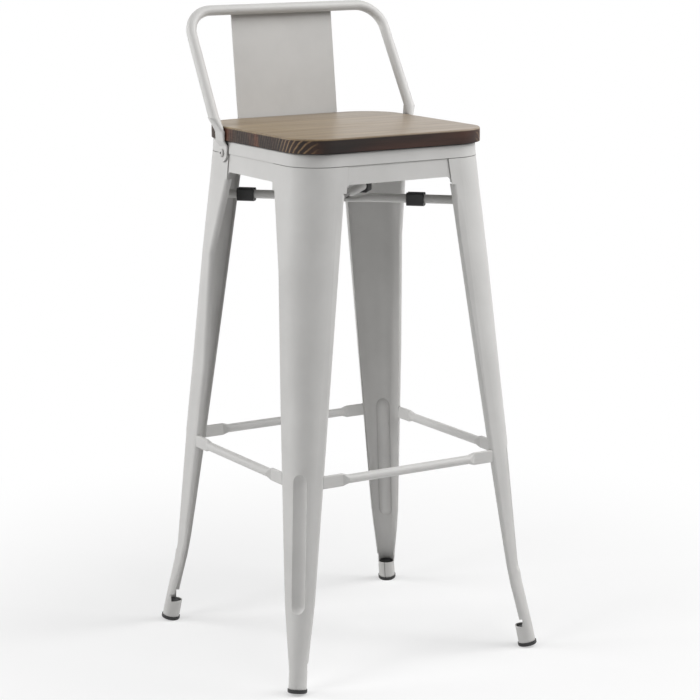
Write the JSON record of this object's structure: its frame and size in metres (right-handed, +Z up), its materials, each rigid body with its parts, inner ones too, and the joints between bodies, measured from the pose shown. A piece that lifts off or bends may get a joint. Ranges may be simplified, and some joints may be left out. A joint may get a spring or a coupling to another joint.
{
  "type": "bar stool",
  "caption": "Tall bar stool with a square wooden seat, a low back of bent tube and sheet, splayed pressed-steel channel legs and round footrest bars.",
  "frame": {"origin": "on the floor, under the centre of the seat", "axes": "+Z up, front of the stool towards -Y, its back towards +Y"},
  "size_m": [0.4162, 0.4162, 0.925],
  "materials": {
    "wood": "dark brown stain, satin, straight grain from side to side",
    "paint": "light warm grey powder coat, satin",
    "black_plastic": "black, matt",
    "zinc_steel": "zinc plated"
  },
  "bodies": {
    "root": {"seat_board": "wood", "seat_pan": "paint", "apron_front": "paint", "apron_rear": "paint", "apron_left": "paint", "apron_right": "paint", "leg_front_left": "paint", "leg_front_right": "paint", "leg_rear_left": "paint", "leg_rear_right": "paint", "brace_lower": "paint", "brace_upper": "paint", "footrest_front": "paint", "footrest_rear": "paint", "footrest_left": "paint", "footrest_right": "paint", "back_hoop": "paint", "back_splat": "paint", "hoop_bolts": "paint", "splat_bolts": "paint", "stack_bumper_front_left": "black_plastic", "stack_bumper_front_right": "black_plastic", "stack_bumper_rear_left": "black_plastic", "stack_bumper_rear_right": "black_plastic", "foot_glide_front_left": "black_plastic", "foot_glide_front_right": "black_plastic", "foot_glide_rear_left": "black_plastic", "foot_glide_rear_right": "black_plastic", "hoop_washers": "zinc_steel", "hoop_nuts": "zinc_steel", "splat_nuts": "zinc_steel", "seat_screws": "zinc_steel"}
  },
  "joints": []
}
